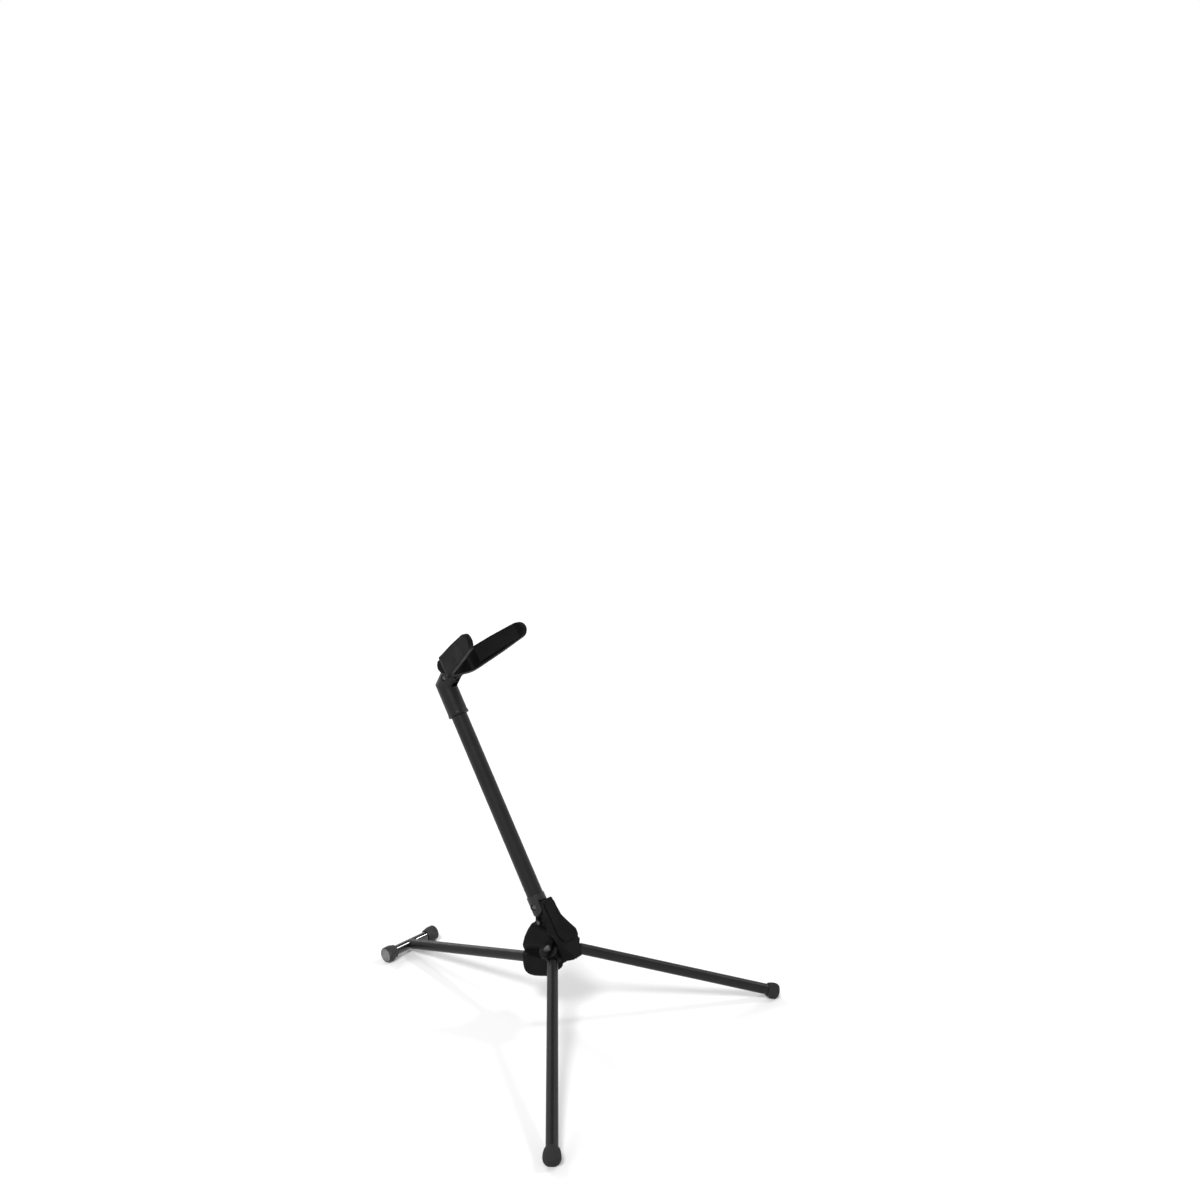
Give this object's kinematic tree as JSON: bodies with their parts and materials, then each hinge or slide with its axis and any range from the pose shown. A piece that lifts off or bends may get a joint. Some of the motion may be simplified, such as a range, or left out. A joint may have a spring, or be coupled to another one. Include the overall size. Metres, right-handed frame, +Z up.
{
  "type": "saxophone stand",
  "caption": "Folding saxophone stand: black hub with two swivelling front legs, a rear leg with cross foot, a bow cradle and a leaning post with a forked bell yoke.",
  "frame": {"origin": "on the floor in the middle of the deployed footprint, in the stand's middle plane", "axes": "+Z up, -Y towards the front where the instrument stands, +X across; the stand is symmetric about X = 0"},
  "size_m": [0.3982, 0.426, 0.431],
  "materials": {
    "powder_coat": "satin black powder coat",
    "crossbar_coat": "gloss black",
    "hub_plastic": "fine-textured black moulding",
    "cradle_plastic": "black moulding",
    "yoke_coat": "soft-touch black",
    "rubber": "dark grey moulded rubber",
    "pad_foam": "black foam rubber",
    "bright_steel": "polished steel",
    "dark_steel": "dark plated steel",
    "black_steel": "black oxide",
    "washer_plastic": "black nylon",
    "spring_steel": "plain spring steel"
  },
  "bodies": {
    "frame": {"hub_half_left": "hub_plastic", "hub_half_right": "hub_plastic", "hub_screws": "black_steel", "bow_cradle": "cradle_plastic", "cradle_pad": "pad_foam", "cradle_screws": "black_steel", "rear_leg_tube": "powder_coat", "rear_leg_plug": "hub_plastic", "crossbar_tube": "crossbar_coat", "crossbar_screw": "bright_steel", "crossbar_cap_left": "rubber", "crossbar_cap_right": "rubber", "left_leg_pin": "black_steel", "right_leg_pin": "black_steel", "leg_washers": "washer_plastic", "post_pin": "dark_steel", "lock_spring": "spring_steel"},
    "left_leg": {"left_leg_eye": "hub_plastic", "left_leg_tube": "powder_coat", "left_foot": "rubber"},
    "right_leg": {"right_leg_eye": "hub_plastic", "right_leg_tube": "powder_coat", "right_foot": "rubber"},
    "post": {"post_clevis": "black_steel", "post_tube": "powder_coat", "elbow": "powder_coat", "elbow_rivet": "black_steel", "yoke_pin": "dark_steel"},
    "yoke": {"bell_yoke": "yoke_coat", "yoke_pad_left": "pad_foam", "yoke_pad_right": "pad_foam"},
    "lock": {"lock_button": "dark_steel"}
  },
  "joints": [
    {"name": "post_fold", "type": "hinge", "parent": "frame", "child": "post", "pos_m": [0, -0.0157, 0.126], "axis": [-1, 0, 0], "range_deg": [0, 71.5]},
    {"name": "left_leg_swivel", "type": "hinge", "parent": "frame", "child": "left_leg", "pos_m": [-0.014, -0.04753, 0.08147], "axis": [0.4951, -0.1567, -0.8546], "range_deg": [0, 122.4]},
    {"name": "right_leg_swivel", "type": "hinge", "parent": "frame", "child": "right_leg", "pos_m": [0.014, -0.04753, 0.08147], "axis": [0.4951, 0.1567, 0.8546], "range_deg": [0, 122.4]},
    {"name": "yoke_tilt", "type": "hinge", "parent": "post", "child": "yoke", "pos_m": [0, 0.11954, 0.36515], "axis": [-1, 0, 0], "range_deg": [-15, 85]},
    {"name": "lock_press", "type": "slide", "parent": "frame", "child": "lock", "axis": [1, 0, 0], "range_m": [0, 0.0025], "stiffness_N_per_m": 400, "springref_m": -0.002, "deforming": ["lock_spring"]}
  ]
}
